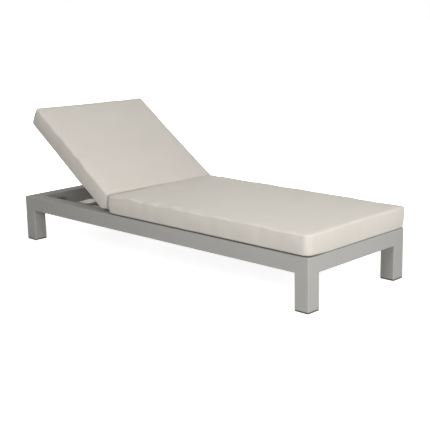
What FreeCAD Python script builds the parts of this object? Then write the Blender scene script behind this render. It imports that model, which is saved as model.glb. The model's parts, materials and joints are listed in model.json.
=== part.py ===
import FreeCAD, Part
import math
import os

from FreeCAD import Vector

# A lounger with a welded box frame, a slatted deck, a back that lifts on a stay, and two pads.
# Millimetres. X runs from the head end to the foot end, Y across, Z up from the floor.
# The origin is on the floor under the middle of the frame.
# Left and right are those of a person lying on it, so left is +Y.

# Whole frame
frame_length = 2000.0
frame_width = 700.0
frame_height = 242.0

# Box tube of the rails and legs
rail_width = 75.0
rail_depth = 75.0
rail_wall = 2.0
rail_corner = 4.0

# Foot caps
cap_height = 7.0
cap_inset = 0.5
plug_length = 22.0
plug_play = 0.4
plug_wall = 4.0

# Slatted deck of the seat
deck_rise = 8.0
seat_slat_count = 10
seat_slat_gap = 32.0
seat_slat_depth = 20.0
slat_wall = 1.5
slat_ease = 1.2
slat_end_play = 0.5
ledge_leg = 25.0
ledge_wall = 2.5
brace_side = 30.0
brace_wall = 2.0
brace_ease = 1.2
seat_brace_shares = (0.33, 0.67)

# Back hinge
hinge_from_head = 680.0
hinge_below_deck = 15.0
back_angle = 36.5
bolt_radius = 5.0
running_play = 0.05
bolt_head_height = 6.4
bolt_head_radius = 9.2
hinge_plate_wall = 4.0
hinge_plate_round = 14.0
hinge_plate_foot = 68.0
hinge_plate_drop = 52.0
hinge_plate_corner = 8.0
washer_radius = 11.0
bush_play = 0.4
seat_play = 0.3
deck_gap = 7.0

# Back frame
back_side = 30.0
back_wall = 2.0
back_corner = 3.0
back_side_play = 7.0
back_end_play = 5.0
back_bar_start = 22.0
back_slat_count = 5
back_slat_width = 80.0
back_slat_wall = 6.0
stop_length = 40.0
stop_leg = 26.0
stop_wall = 3.0
stop_spread = 340.0

# Stay that props the back up on two notched racks
stay_slat = 2
stay_pivot_drop = 2.0
arm_spread = 206.0
arm_width = 14.0
arm_wall = 6.0
stay_bolt_radius = 4.0
stay_bolt_head_radius = 7.5
stay_bolt_head_height = 5.0
cheek_wall = 3.0
cheek_play = 0.4
cheek_half = 9.0
cheek_cut = 4.0
lug_base_wall = 2.5
lug_base_overhang = 8.0
rod_radius = 5.0
sleeve_radius = 6.0
sleeve_length = 18.0
stay_brace_side = 12.0
stay_brace_wall = 1.5
stay_brace_share = 0.5
rack_wall = 6.0
rack_gap = 10.0
rack_end = 22.0
notch_angles = (16.0, 26.0, 36.5, 46.0, 55.0)
notch_play = 0.4
notch_lift = 1.0
brace_below_rod = 35.0

# Sheet that closes the frame below the raised back
tray_wall = 2.0
tray_play = 1.0

# Pads
pad_thickness = 90.0
pad_side_overhang = 5.0
pad_corner = 36.0
pad_bottom_edge = 9.0
pad_top_edge = 12.0
pad_crown = 6.0
pad_pull_share = 0.003
pad_bottom_steps = 1
pad_top_steps = 2
crown_shares = (0.3, 0.7)
seat_pad_head_gap = 34.0
back_pad_start = 2.0
back_pad_lean = 78.0
back_pad_overhang = 16.0

# Straps that tie the back pad to its frame
strap_wall = 2.0
strap_width = 16.0
tail_length = 112.0
tail_width = 22.0

# One length by which every cutting tool runs past what it cuts
overrun = 5.0

# Places worked out from the sizes above
rail_bottom = frame_height - rail_depth
inner_half = frame_width / 2 - rail_width
head_inner = -frame_length / 2 + rail_width
foot_inner = frame_length / 2 - rail_width
deck_top = frame_height + deck_rise
hinge_x = -frame_length / 2 + hinge_from_head
hinge_z = deck_top - hinge_below_deck
seat_start = hinge_x + back_side / 2 + deck_gap
seat_slat_pitch = (foot_inner - seat_start) / seat_slat_count
seat_slat_width = seat_slat_pitch - seat_slat_gap
ledge_start = hinge_x + hinge_plate_foot / 2 + seat_play
slat_bottom = deck_top - seat_slat_depth
back_outer = inner_half - back_side_play
back_inner = back_outer - back_side
back_reach = hinge_x - head_inner - back_end_play
back_top = hinge_below_deck
back_bottom = back_top - back_side
back_bar_end = back_bar_start + back_side
brace_top = hinge_z - brace_below_rod
spine_depth = slat_bottom - brace_top
back_clear = back_reach - back_side - back_bar_end
back_slat_gap = (back_clear - back_slat_count * back_slat_width) / (back_slat_count + 1)
back_slat_pitch = back_slat_gap + back_slat_width
pivot_along = back_bar_end + stay_slat * back_slat_pitch - back_slat_width / 2
stay_reach = math.hypot(pivot_along, stay_pivot_drop)
pivot_dip = math.degrees(math.atan2(stay_pivot_drop, pivot_along))
stay_angle = back_angle - pivot_dip
rack_inner = arm_spread / 2 + arm_wall / 2 + rack_gap
rack_top = hinge_z - sleeve_radius - seat_play


def at_back(along, above):
    # A place on the raised back, as X and Z: along the back from the hinge, and above its mid-plane.
    turn = math.radians(back_angle)
    x = hinge_x - along * math.cos(turn) + above * math.sin(turn)
    z = hinge_z + along * math.sin(turn) + above * math.cos(turn)
    return x, z


def rod_x(angle):
    # The stay is as long as its pivot is from the hinge, so its rod stays level with the hinge.
    return hinge_x - 2 * stay_reach * math.cos(math.radians(angle - pivot_dip))


def rounded_rectangle(width, depth, radius, centre, across, up):
    # A closed outline about a centre, width along one direction and depth along another.
    half_w = width / 2
    half_d = depth / 2
    mid = radius * (1 - math.sqrt(0.5))
    corners = []
    for sign_w, sign_d in ((1, 1), (-1, 1), (-1, -1), (1, -1)):
        on_side = centre + across * sign_w * half_w + up * sign_d * (half_d - radius)
        bend = centre + across * sign_w * (half_w - mid) + up * sign_d * (half_d - mid)
        on_top = centre + across * sign_w * (half_w - radius) + up * sign_d * half_d
        forward = sign_w * sign_d > 0
        corners.append((on_side, bend, on_top) if forward else (on_top, bend, on_side))
    edges = []
    for index, (start, bend, end) in enumerate(corners):
        following = corners[(index + 1) % len(corners)][0]
        edges.append(Part.Arc(start, bend, end).toShape())
        edges.append(Part.LineSegment(end, following).toShape())
    return Part.Wire(edges)


def eased_rectangle(width, depth, ease, centre, across, up):
    # The same with its corners cut off flat, for the small edges of an extrusion; 0 leaves them square.
    half_w = width / 2
    half_d = depth / 2
    points = []
    for sign_w, sign_d in ((1, 1), (-1, 1), (-1, -1), (1, -1)):
        on_side = centre + across * sign_w * half_w + up * sign_d * (half_d - ease)
        on_top = centre + across * sign_w * (half_w - ease) + up * sign_d * half_d
        if ease == 0:
            points.append(on_side)
        elif sign_w * sign_d > 0:
            points.extend((on_side, on_top))
        else:
            points.extend((on_top, on_side))
    return Part.makePolygon(points + points[:1])


def bar(outline, start, direction, across, up, length, width, depth, corner):
    # A solid bar; the outline is the rounded or the eased rectangle.
    section = outline(width, depth, corner, start, across, up)
    return Part.Face(section).extrude(direction * length)


def box_tube(outline, start, direction, across, up, length, width, depth, wall, corner):
    # A hollow bar, open at both ends, with square corners inside as an extrusion has.
    outside = bar(outline, start, direction, across, up, length, width, depth, corner)
    bore_start = start - direction * overrun
    bore_length = length + 2 * overrun
    bore_width = width - 2 * wall
    bore_depth = depth - 2 * wall
    bore = bar(eased_rectangle, bore_start, direction, across, up, bore_length, bore_width, bore_depth, 0)
    return outside.cut(bore)


def crossways_tube(outline, x, z, half_length, width, depth, wall, corner):
    # A hollow bar that runs across the lounger.
    start = Vector(x, -half_length, z)
    across = Vector(1, 0, 0)
    up = Vector(0, 0, 1)
    length = 2 * half_length
    return box_tube(outline, start, Vector(0, 1, 0), across, up, length, width, depth, wall, corner)


def lengthways_tube(outline, y, z, x_start, x_end, width, depth, wall, corner):
    # A hollow bar that runs along the lounger.
    start = Vector(x_start, y, z)
    across = Vector(0, 1, 0)
    up = Vector(0, 0, 1)
    length = x_end - x_start
    return box_tube(outline, start, Vector(1, 0, 0), across, up, length, width, depth, wall, corner)


def rod_across(x, z, y_start, y_end, radius):
    return Part.makeCylinder(radius, y_end - y_start, Vector(x, y_start, z), Vector(0, 1, 0))


def block(x_low, x_high, y_low, y_high, z_low, z_high):
    return Part.makeBox(x_high - x_low, y_high - y_low, z_high - z_low, Vector(x_low, y_low, z_low))


def prism(points, direction):
    corners = [Vector(*point) for point in points]
    return Part.Face(Part.makePolygon(corners + corners[:1])).extrude(direction)


def mirrored(shape):
    return shape.mirror(Vector(0, 0, 0), Vector(0, 1, 0))


def raised(shape):
    # Turns a piece of the back from flat to the angle that it is shown at.
    turned = shape.copy()
    turned.rotate(Vector(hinge_x, 0, hinge_z), Vector(0, 1, 0), back_angle)
    return turned


def footprint():
    # The whole frame seen from above, with its four rounded corners.
    centre = Vector(0, 0, -overrun)
    height = frame_height + 2 * overrun
    along = Vector(1, 0, 0)
    across = Vector(0, 1, 0)
    size = (height, frame_length, frame_width, rail_corner)
    return bar(rounded_rectangle, centre, Vector(0, 0, 1), along, across, *size)


def side_rail():
    # Left rail, mitred at both ends.
    middle = frame_width / 2 - rail_width / 2
    z = frame_height - rail_depth / 2
    half = frame_length / 2
    size = (rail_width, rail_depth, rail_wall, rail_corner)
    tube = lengthways_tube(rounded_rectangle, middle, z, -half, half, *size)
    outer = frame_width / 2 + overrun
    inner = inner_half - overrun
    z_low = rail_bottom - overrun
    mitre = prism(
        (
            (-half - overrun, outer, z_low),
            (half + overrun, outer, z_low),
            (foot_inner - overrun, inner, z_low),
            (head_inner + overrun, inner, z_low),
        ),
        Vector(0, 0, rail_depth + 2 * overrun),
    )
    return tube.common(mitre).common(footprint())


def foot_rail():
    # Rail across the foot end, mitred to the side rails.
    middle = frame_length / 2 - rail_width / 2
    z = frame_height - rail_depth / 2
    half = frame_width / 2
    size = (rail_width, rail_depth, rail_wall, rail_corner)
    tube = crossways_tube(rounded_rectangle, middle, z, half, *size)
    outer = frame_length / 2 + overrun
    inner = foot_inner - overrun
    z_low = rail_bottom - overrun
    mitre = prism(
        (
            (outer, -half - overrun, z_low),
            (outer, half + overrun, z_low),
            (inner, inner_half - overrun, z_low),
            (inner, -inner_half + overrun, z_low),
        ),
        Vector(0, 0, rail_depth + 2 * overrun),
    )
    return tube.common(mitre).common(footprint())


def head_rail():
    return foot_rail().mirror(Vector(0, 0, 0), Vector(1, 0, 0))


def leg(x, y):
    start = Vector(x, y, cap_height)
    length = rail_bottom - cap_height
    along = Vector(1, 0, 0)
    across = Vector(0, 1, 0)
    size = (length, rail_width, rail_width, rail_wall, rail_corner)
    return box_tube(rounded_rectangle, start, Vector(0, 0, 1), along, across, *size)


def foot_cap(x, y):
    # A plastic sole with a plug that stands inside the leg.
    along = Vector(1, 0, 0)
    across = Vector(0, 1, 0)
    up = Vector(0, 0, 1)
    width = rail_width - 2 * cap_inset
    plug_width = rail_width - 2 * (rail_wall + plug_play)
    base = Vector(x, y, 0)
    sole = bar(rounded_rectangle, base, up, along, across, cap_height, width, width, rail_corner)
    plug_height = cap_height + plug_length
    plug = bar(eased_rectangle, base, up, along, across, plug_height, plug_width, plug_width, rail_wall)
    hollow_width = plug_width - 2 * plug_wall
    hollow = Vector(x, y, cap_height)
    pocket_height = plug_length + overrun
    pocket = bar(eased_rectangle, hollow, up, along, across, pocket_height, hollow_width, hollow_width, 0)
    return sole.fuse(plug).cut(pocket).removeSplitter()


def corner_pieces(make):
    # One leg or foot cap under each corner of the frame.
    x = frame_length / 2 - rail_width / 2
    y = frame_width / 2 - rail_width / 2
    return {
        "head_left": make(-x, y),
        "head_right": make(-x, -y),
        "foot_left": make(x, y),
        "foot_right": make(x, -y),
    }


def deck_ledge():
    # Angle along the left rail that carries the ends of the slats.
    y_wall = inner_half - ledge_wall
    y_edge = inner_half - ledge_leg
    upright = block(ledge_start, foot_inner, y_wall, inner_half, slat_bottom - ledge_leg, slat_bottom)
    shelf = block(ledge_start, foot_inner, y_edge, inner_half, slat_bottom - ledge_wall, slat_bottom)
    return upright.fuse(shelf).removeSplitter()


def seat_slats():
    slats = {}
    for index in range(seat_slat_count):
        x = seat_start + seat_slat_width / 2 + index * seat_slat_pitch
        z = deck_top - seat_slat_depth / 2
        half = inner_half - slat_end_play
        name = f"seat_slat_{index + 1}"
        size = (seat_slat_width, seat_slat_depth, slat_wall, slat_ease)
        slats[name] = crossways_tube(eased_rectangle, x, z, half, *size)
    return slats


def deck_spine():
    # Tube down the middle, on the braces and under the slats.
    z = slat_bottom - spine_depth / 2
    size = (brace_side, spine_depth, brace_wall, brace_ease)
    return lengthways_tube(eased_rectangle, 0, z, seat_start, foot_inner, *size)


def brace(x):
    # Tube between the side rails, low enough for the stay to fold down above it.
    z = brace_top - brace_side / 2
    size = (brace_side, brace_side, brace_wall, brace_ease)
    return crossways_tube(eased_rectangle, x, z, inner_half, *size)


def braces():
    lowest = rod_x(0) + brace_side / 2
    highest = rod_x(notch_angles[-1])
    span = foot_inner - seat_start
    return {
        "rack_brace_head": brace(lowest),
        "rack_brace_seat": brace(highest),
        "seat_brace_head": brace(seat_start + seat_brace_shares[0] * span),
        "seat_brace_foot": brace(seat_start + seat_brace_shares[1] * span),
    }


def head_tray():
    # Sheet on the undersides of the two rack braces, from the head rail to the far brace.
    x_low = head_inner + tray_play
    x_high = rod_x(notch_angles[-1]) + brace_side / 2
    half = inner_half - tray_play
    z_high = brace_top - brace_side
    return block(x_low, x_high, -half, half, z_high - tray_wall, z_high)


def rack():
    # Left notched bar that the stay's rod drops into, one notch for each angle of the back.
    x_low = rod_x(0) - rack_end
    x_high = rod_x(notch_angles[-1]) + rack_end
    plate = block(x_low, x_high, rack_inner, rack_inner + rack_wall, brace_top, rack_top)
    radius = sleeve_radius + notch_play
    for angle in notch_angles:
        x = rod_x(angle)
        z = rack_top + notch_lift
        notch = rod_across(x, z, rack_inner - overrun, rack_inner + rack_wall + overrun, radius)
        plate = plate.cut(notch)
    return plate


def hinge_plate():
    # Left plate on the rail's inner face, round about the hinge bolt and wide at its foot.
    half_foot = hinge_plate_foot / 2
    y = inner_half - hinge_plate_wall
    z_foot = hinge_z - hinge_plate_drop
    z_side = z_foot + hinge_plate_corner
    plate = prism(
        (
            (hinge_x - hinge_plate_round, y, hinge_z),
            (hinge_x + hinge_plate_round, y, hinge_z),
            (hinge_x + half_foot, y, z_side),
            (hinge_x + half_foot - hinge_plate_corner, y, z_foot),
            (hinge_x - half_foot + hinge_plate_corner, y, z_foot),
            (hinge_x - half_foot, y, z_side),
        ),
        Vector(0, hinge_plate_wall, 0),
    )
    plate = plate.fuse(rod_across(hinge_x, hinge_z, y, inner_half, hinge_plate_round))
    hole = rod_across(hinge_x, hinge_z, y - overrun, inner_half + overrun, bolt_radius + running_play)
    return plate.cut(hole).removeSplitter()


def hexagon(x, z, y_low, y_high, radius):
    # A bolt's head or nut; the radius is out to its corners.
    corners = []
    for index in range(6):
        turn = math.radians(60 * index)
        corners.append((x + radius * math.cos(turn), y_low, z + radius * math.sin(turn)))
    return prism(corners, Vector(0, y_high - y_low, 0))


def hinge_bolt():
    # Left bolt, its head on the inner side of the back's side tube.
    head_end = back_inner - seat_play
    shank = rod_across(hinge_x, hinge_z, head_end, inner_half, bolt_radius)
    head = hexagon(hinge_x, hinge_z, head_end - bolt_head_height, head_end, bolt_head_radius)
    return shank.fuse(head)


def hinge_washer():
    y_low = back_outer + seat_play
    y_high = inner_half - hinge_plate_wall - seat_play
    ring = rod_across(hinge_x, hinge_z, y_low, y_high, washer_radius)
    hole = rod_across(hinge_x, hinge_z, y_low - overrun, y_high + overrun, bolt_radius + running_play)
    return ring.cut(hole)


def hinge_bush():
    # Left bush inside the side tube, between the tube's two faces.
    y_low = back_inner + back_wall + bush_play
    y_high = back_outer - back_wall - bush_play
    radius = back_side / 2 - back_wall - bush_play
    ring = rod_across(hinge_x, hinge_z, y_low, y_high, radius)
    hole = rod_across(hinge_x, hinge_z, y_low - overrun, y_high + overrun, bolt_radius + running_play)
    return ring.cut(hole)


def back_stop():
    # Left angle on the head rail that the back lies on when it is flat.
    y_low = stop_spread / 2 - stop_length / 2
    y_high = stop_spread / 2 + stop_length / 2
    z_top = hinge_z - back_side / 2 - seat_play
    upright = block(head_inner, head_inner + stop_wall, y_low, y_high, z_top - stop_leg, z_top)
    shelf = block(head_inner, head_inner + stop_leg, y_low, y_high, z_top - stop_wall, z_top)
    return upright.fuse(shelf).removeSplitter()


def back_side_tube():
    # Left tube of the back, mitred at the top and rounded about the hinge at its foot.
    y = back_inner + back_side / 2
    x_low = hinge_x - back_reach
    x_high = hinge_x + back_side / 2
    size = (back_side, back_side, back_wall, back_corner)
    tube = lengthways_tube(rounded_rectangle, y, hinge_z, x_low, x_high, *size)
    z_low = hinge_z - back_side
    mitre = prism(
        (
            (x_low - overrun, back_outer + overrun, z_low),
            (x_high + overrun, back_outer + overrun, z_low),
            (x_high + overrun, back_inner - overrun, z_low),
            (x_low + back_side + overrun, back_inner - overrun, z_low),
        ),
        Vector(0, 0, 2 * back_side),
    )
    tube = tube.common(mitre)
    y_low = back_inner - overrun
    y_high = back_outer + overrun
    square = block(hinge_x, x_high + overrun, y_low, y_high, z_low, z_low + 2 * back_side)
    round_end = rod_across(hinge_x, hinge_z, y_low, y_high, back_side / 2)
    tube = tube.cut(square.cut(round_end))
    hole = rod_across(hinge_x, hinge_z, y_low, y_high, bolt_radius + seat_play)
    return raised(tube.cut(hole))


def back_top_tube():
    # Tube across the top of the back, mitred to its side tubes.
    x_low = hinge_x - back_reach
    x_high = x_low + back_side
    size = (back_side, back_side, back_wall, back_corner)
    tube = crossways_tube(rounded_rectangle, x_low + back_side / 2, hinge_z, back_outer, *size)
    z_low = hinge_z - back_side
    mitre = prism(
        (
            (x_low - overrun, -back_outer - overrun, z_low),
            (x_low - overrun, back_outer + overrun, z_low),
            (x_high + overrun, back_inner - overrun, z_low),
            (x_high + overrun, -back_inner + overrun, z_low),
        ),
        Vector(0, 0, 2 * back_side),
    )
    return raised(tube.common(mitre))


def back_bottom_tube():
    x = hinge_x - back_bar_start - back_side / 2
    size = (back_side, back_side, back_wall, back_corner)
    return raised(crossways_tube(rounded_rectangle, x, hinge_z, back_inner, *size))


def back_slats():
    slats = {}
    up = Vector(0, 0, 1)
    for index in range(back_slat_count):
        along = back_bar_end + (index + 1) * back_slat_pitch - back_slat_width / 2
        start = Vector(hinge_x - along, -back_inner, hinge_z + back_top - back_slat_wall / 2)
        size = (2 * back_inner, back_slat_width, back_slat_wall, slat_ease)
        flat = bar(eased_rectangle, start, Vector(0, 1, 0), Vector(1, 0, 0), up, *size)
        slats[f"back_slat_{index + 1}"] = raised(flat)
    return slats


def round_ended_plate(x_from, x_to, z, radius, y_low, y_high):
    # A flat bar seen from the side, with a full round at each end.
    middle = block(x_from, x_to, y_low, y_high, z - radius, z + radius)
    plate = middle.fuse(rod_across(x_from, z, y_low, y_high, radius))
    return plate.fuse(rod_across(x_to, z, y_low, y_high, radius)).removeSplitter()


def stay_lug():
    # Left fork under a back slat that holds the top of a stay arm.
    x = hinge_x - pivot_along
    z = hinge_z - stay_pivot_drop
    z_top = hinge_z + back_top - back_slat_wall
    gap_low = arm_spread / 2 - arm_wall / 2 - cheek_play
    gap_high = arm_spread / 2 + arm_wall / 2 + cheek_play
    y_low = gap_low - cheek_wall
    y_high = gap_high + cheek_wall
    cheek = prism(
        (
            (x - cheek_half, y_low, z_top),
            (x + cheek_half, y_low, z_top),
            (x + cheek_half, y_low, z),
            (x + cheek_half - cheek_cut, y_low, z - cheek_half),
            (x - cheek_half + cheek_cut, y_low, z - cheek_half),
            (x - cheek_half, y_low, z),
        ),
        Vector(0, y_high - y_low, 0),
    )
    base_half = cheek_half + lug_base_overhang
    base = block(x - base_half, x + base_half, y_low, y_high, z_top - lug_base_wall, z_top)
    gap_floor = z - cheek_half - overrun
    gap = block(x - base_half, x + base_half, gap_low, gap_high, gap_floor, z_top - lug_base_wall)
    hole = rod_across(x, z, y_low - overrun, y_high + overrun, stay_bolt_radius + running_play)
    return raised(cheek.fuse(base).cut(gap).cut(hole).removeSplitter())


def stay_bolt():
    # Left bolt through the fork and the arm, with its head at one end and a nut at the other.
    x = hinge_x - pivot_along
    z = hinge_z - stay_pivot_drop
    y_low = arm_spread / 2 - arm_wall / 2 - cheek_play - cheek_wall
    y_high = arm_spread / 2 + arm_wall / 2 + cheek_play + cheek_wall
    shank = rod_across(x, z, y_low, y_high, stay_bolt_radius)
    head = hexagon(x, z, y_low - stay_bolt_head_height, y_low, stay_bolt_head_radius)
    nut = hexagon(x, z, y_high, y_high + stay_bolt_head_height, stay_bolt_head_radius)
    return raised(shank.fuse(head).fuse(nut))


def stay_top():
    # Pivot of the stay on the raised back, as X and Z.
    return at_back(pivot_along, -stay_pivot_drop)


def stay_arm():
    # Left arm, from its pivot down to the rod.
    x, z = stay_top()
    y_low = arm_spread / 2 - arm_wall / 2
    y_high = arm_spread / 2 + arm_wall / 2
    arm = round_ended_plate(x - stay_reach, x, z, arm_width / 2, y_low, y_high)
    bolt_hole = rod_across(x, z, y_low - overrun, y_high + overrun, stay_bolt_radius + running_play)
    rod_hole = rod_across(x - stay_reach, z, y_low - overrun, y_high + overrun, rod_radius + running_play)
    arm = arm.cut(bolt_hole).cut(rod_hole)
    arm.rotate(Vector(x, 0, z), Vector(0, 1, 0), -stay_angle)
    return arm


def stay_rod():
    half = rack_inner + rack_wall / 2 + sleeve_length / 2
    return rod_across(rod_x(back_angle), hinge_z, -half, half, rod_radius)


def rod_sleeve():
    # Left plastic sleeve on the rod, over the rack.
    middle = rack_inner + rack_wall / 2
    y_low = middle - sleeve_length / 2
    y_high = middle + sleeve_length / 2
    x = rod_x(back_angle)
    sleeve = rod_across(x, hinge_z, y_low, y_high, sleeve_radius)
    bore = rod_across(x, hinge_z, y_low - overrun, y_high + overrun, rod_radius + running_play)
    return sleeve.cut(bore)


def stay_brace():
    # Square tube between the two arms.
    x, z = stay_top()
    middle = x - stay_brace_share * stay_reach
    half = arm_spread / 2 - arm_wall / 2
    size = (stay_brace_side, stay_brace_side, stay_brace_wall, brace_ease)
    tube = crossways_tube(eased_rectangle, middle, z, half, *size)
    tube.rotate(Vector(x, 0, z), Vector(0, 1, 0), -stay_angle)
    return tube


def pad_outline(x_low, x_high, half, corner, z):
    # A pad seen from above: rounded corners, and sides that are drawn in a little between them.
    pull_side = pad_pull_share * (x_high - x_low)
    pull_end = pad_pull_share * 2 * half
    mid = corner * (1 - math.sqrt(0.5))
    middle = (x_low + x_high) / 2
    runs = (
        ((x_low + corner, -half), (middle, -half + pull_side), (x_high - corner, -half)),
        ((x_high - corner, -half), (x_high - mid, -half + mid), (x_high, -half + corner)),
        ((x_high, -half + corner), (x_high - pull_end, 0), (x_high, half - corner)),
        ((x_high, half - corner), (x_high - mid, half - mid), (x_high - corner, half)),
        ((x_high - corner, half), (middle, half - pull_side), (x_low + corner, half)),
        ((x_low + corner, half), (x_low + mid, half - mid), (x_low, half - corner)),
        ((x_low, half - corner), (x_low + pull_end, 0), (x_low, -half + corner)),
        ((x_low, -half + corner), (x_low + mid, -half + mid), (x_low + corner, -half)),
    )
    edges = []
    for run in runs:
        start, bend, end = [Vector(x, y, z) for x, y in run]
        edges.append(Part.Arc(start, bend, end).toShape())
    return Part.Wire(edges)


def pad_levels(smaller_half):
    # How far a pad's side is drawn in, its corner radius and its height, from the bottom up.
    levels = []
    for step in range(pad_bottom_steps + 1):
        turn = math.radians(90 * step / pad_bottom_steps)
        inset = pad_bottom_edge * (1 - math.sin(turn))
        levels.append((inset, pad_corner - inset, pad_bottom_edge * (1 - math.cos(turn))))
    for step in range(pad_top_steps + 1):
        turn = math.radians(90 * step / pad_top_steps)
        inset = pad_top_edge * (1 - math.cos(turn))
        levels.append((inset, pad_corner - inset, pad_thickness - pad_top_edge * (1 - math.sin(turn))))
    for share in crown_shares:
        inset = pad_top_edge + share * (smaller_half - pad_top_edge)
        height = pad_thickness + pad_crown * (1 - (1 - share) ** 2)
        levels.append((inset, pad_corner - pad_top_edge, height))
    return levels


def pad(x_low, x_high, lean):
    # One pad lying on the deck, its foot end pushed back by the lean at the top.
    outlines = []
    widest_half = frame_width / 2 + pad_side_overhang
    smaller_half = min(widest_half, (x_high - x_low - lean) / 2)
    for inset, corner, height in pad_levels(smaller_half):
        shift = lean * height / pad_thickness
        end = x_high - shift - inset
        z = deck_top + seat_play + height
        outlines.append(pad_outline(x_low + inset, end, widest_half - inset, corner, z))
    return Part.makeLoft(outlines, True, True)


def seat_pad():
    return pad(hinge_x + seat_pad_head_gap, frame_length / 2, 0)


def back_pad():
    # The foot end leans back, so that it stays clear of the seat pad when the back is raised.
    x_low = -frame_length / 2 - back_pad_overhang
    return raised(pad(x_low, hinge_x - back_pad_start, back_pad_lean))


def pad_strap():
    # Left strap: a loop round the side tube, in the gap above the bottom tube, and its loose tail.
    along = back_bar_end + back_slat_gap / 2
    x = hinge_x - along
    x_low = x - strap_width / 2
    x_high = x + strap_width / 2
    z_top = hinge_z + back_top
    z_low = hinge_z + back_bottom - seat_play - strap_wall
    y_low = back_inner - seat_play - strap_wall
    y_high = back_outer + seat_play + strap_wall
    loop = block(x_low, x_high, y_low, y_high, z_low, z_top)
    tube_low = back_inner - seat_play
    tube_high = back_outer + seat_play
    tube_floor = z_low + strap_wall
    hollow = block(x_low - overrun, x_high + overrun, tube_low, tube_high, tube_floor, z_top + overrun)
    loop = loop.cut(hollow)
    tail_low = y_high - strap_wall
    tail_floor = z_top - strap_wall
    tail = block(x - tail_length, x_high, tail_low, tail_low + tail_width, tail_floor, z_top)
    tip_centre = Vector(x - tail_length, tail_low + tail_width / 2, tail_floor)
    tip = Part.makeCylinder(tail_width / 2, strap_wall, tip_centre)
    return raised(loop.fuse(tail).fuse(tip).removeSplitter())


def sided(name, shape):
    # A left piece and its mirror image.
    return {name + "_left": shape, name + "_right": mirrored(shape)}


def grouped(shape):
    # A left piece and its mirror image, kept as one group.
    return Part.makeCompound([shape, mirrored(shape)])


def frame_pieces():
    pieces = {"head_rail": head_rail(), "foot_rail": foot_rail()}
    pieces.update(sided("side_rail", side_rail()))
    for place, shape in corner_pieces(leg).items():
        pieces["leg_" + place] = shape
    for place, shape in corner_pieces(foot_cap).items():
        pieces["foot_cap_" + place] = shape
    return pieces


def deck_pieces():
    pieces = sided("deck_ledge", deck_ledge())
    pieces.update(seat_slats())
    pieces.update(braces())
    pieces["deck_spine"] = deck_spine()
    pieces["head_tray"] = head_tray()
    pieces["seat_pad"] = seat_pad()
    return pieces


def hinge_pieces():
    pieces = sided("hinge_plate", hinge_plate())
    pieces["hinge_bolts"] = grouped(hinge_bolt())
    pieces["hinge_washers"] = grouped(hinge_washer())
    pieces["hinge_bushes"] = raised(grouped(hinge_bush()))
    pieces["back_stops"] = grouped(back_stop())
    return pieces


def back_pieces():
    pieces = sided("back_side_tube", back_side_tube())
    pieces["back_top_tube"] = back_top_tube()
    pieces["back_bottom_tube"] = back_bottom_tube()
    pieces.update(back_slats())
    pieces.update(sided("stay_lug", stay_lug()))
    pieces["stay_bolts"] = grouped(stay_bolt())
    pieces["back_pad"] = back_pad()
    pieces.update(sided("pad_strap", pad_strap()))
    return pieces


def stay_pieces():
    pieces = sided("stay_arm", stay_arm())
    pieces["stay_rod"] = stay_rod()
    pieces["stay_brace"] = stay_brace()
    pieces["rod_sleeves"] = grouped(rod_sleeve())
    pieces.update(sided("rack", rack()))
    return pieces


def build():
    os.makedirs("parts", exist_ok=True)
    pieces = {}
    for group in (frame_pieces, deck_pieces, hinge_pieces, back_pieces, stay_pieces):
        pieces.update(group())
    for name, shape in sorted(pieces.items()):
        if not shape.isValid():
            print("not valid:", name)
        shape.exportStep(os.path.join("parts", name + ".step"))
    print(len(pieces), "pieces; hinge", round(hinge_x, 3), round(hinge_z, 3), "stay pivot", stay_top())
    print("rod at rest", round(rod_x(back_angle), 3), "flat", round(rod_x(0), 3))


build()
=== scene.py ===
import json
import math

import bpy
import numpy as np
from mathutils import Matrix, Vector, noise


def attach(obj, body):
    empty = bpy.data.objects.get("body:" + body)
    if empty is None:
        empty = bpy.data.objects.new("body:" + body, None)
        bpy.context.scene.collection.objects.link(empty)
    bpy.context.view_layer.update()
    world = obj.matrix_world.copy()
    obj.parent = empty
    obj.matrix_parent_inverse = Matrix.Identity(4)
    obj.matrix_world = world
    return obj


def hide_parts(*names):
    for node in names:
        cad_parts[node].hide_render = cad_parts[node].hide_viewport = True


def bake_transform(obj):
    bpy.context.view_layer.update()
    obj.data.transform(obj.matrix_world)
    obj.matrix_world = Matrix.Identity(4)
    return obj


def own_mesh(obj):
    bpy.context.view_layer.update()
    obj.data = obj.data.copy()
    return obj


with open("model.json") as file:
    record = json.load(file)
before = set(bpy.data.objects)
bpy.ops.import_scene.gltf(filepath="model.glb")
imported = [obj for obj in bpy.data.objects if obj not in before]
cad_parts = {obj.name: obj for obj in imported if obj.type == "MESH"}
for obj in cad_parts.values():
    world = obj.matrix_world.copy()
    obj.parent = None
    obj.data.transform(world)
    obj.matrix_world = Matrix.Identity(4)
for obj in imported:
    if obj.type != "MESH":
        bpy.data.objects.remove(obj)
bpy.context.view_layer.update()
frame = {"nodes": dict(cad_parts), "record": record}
print("frame loaded:", len(frame["nodes"]), "pieces")

mm = 0.001
hinge = Vector((-320 * mm, 0, 235 * mm))  # the back turns about this line
backLift = math.radians(36.5)  # the back stands this far off flat
deckTop = 250 * mm  # the pads lie on the slats at this height


# The camera stands where the picture was taken from, at the foot end on the lounger's right.
camera = {
    "aim": (638.3 * mm, -523.3 * mm, 405.2 * mm),
    "distance": 4056.7 * mm,
    "turn": 44.506,  # in degrees, as are the next two
    "height": 13.079,
    "roll": -1.2154,
    "lens": 80.741,  # in millimetres, as is the sensor's width
    "sensor": 36,
}


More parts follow.
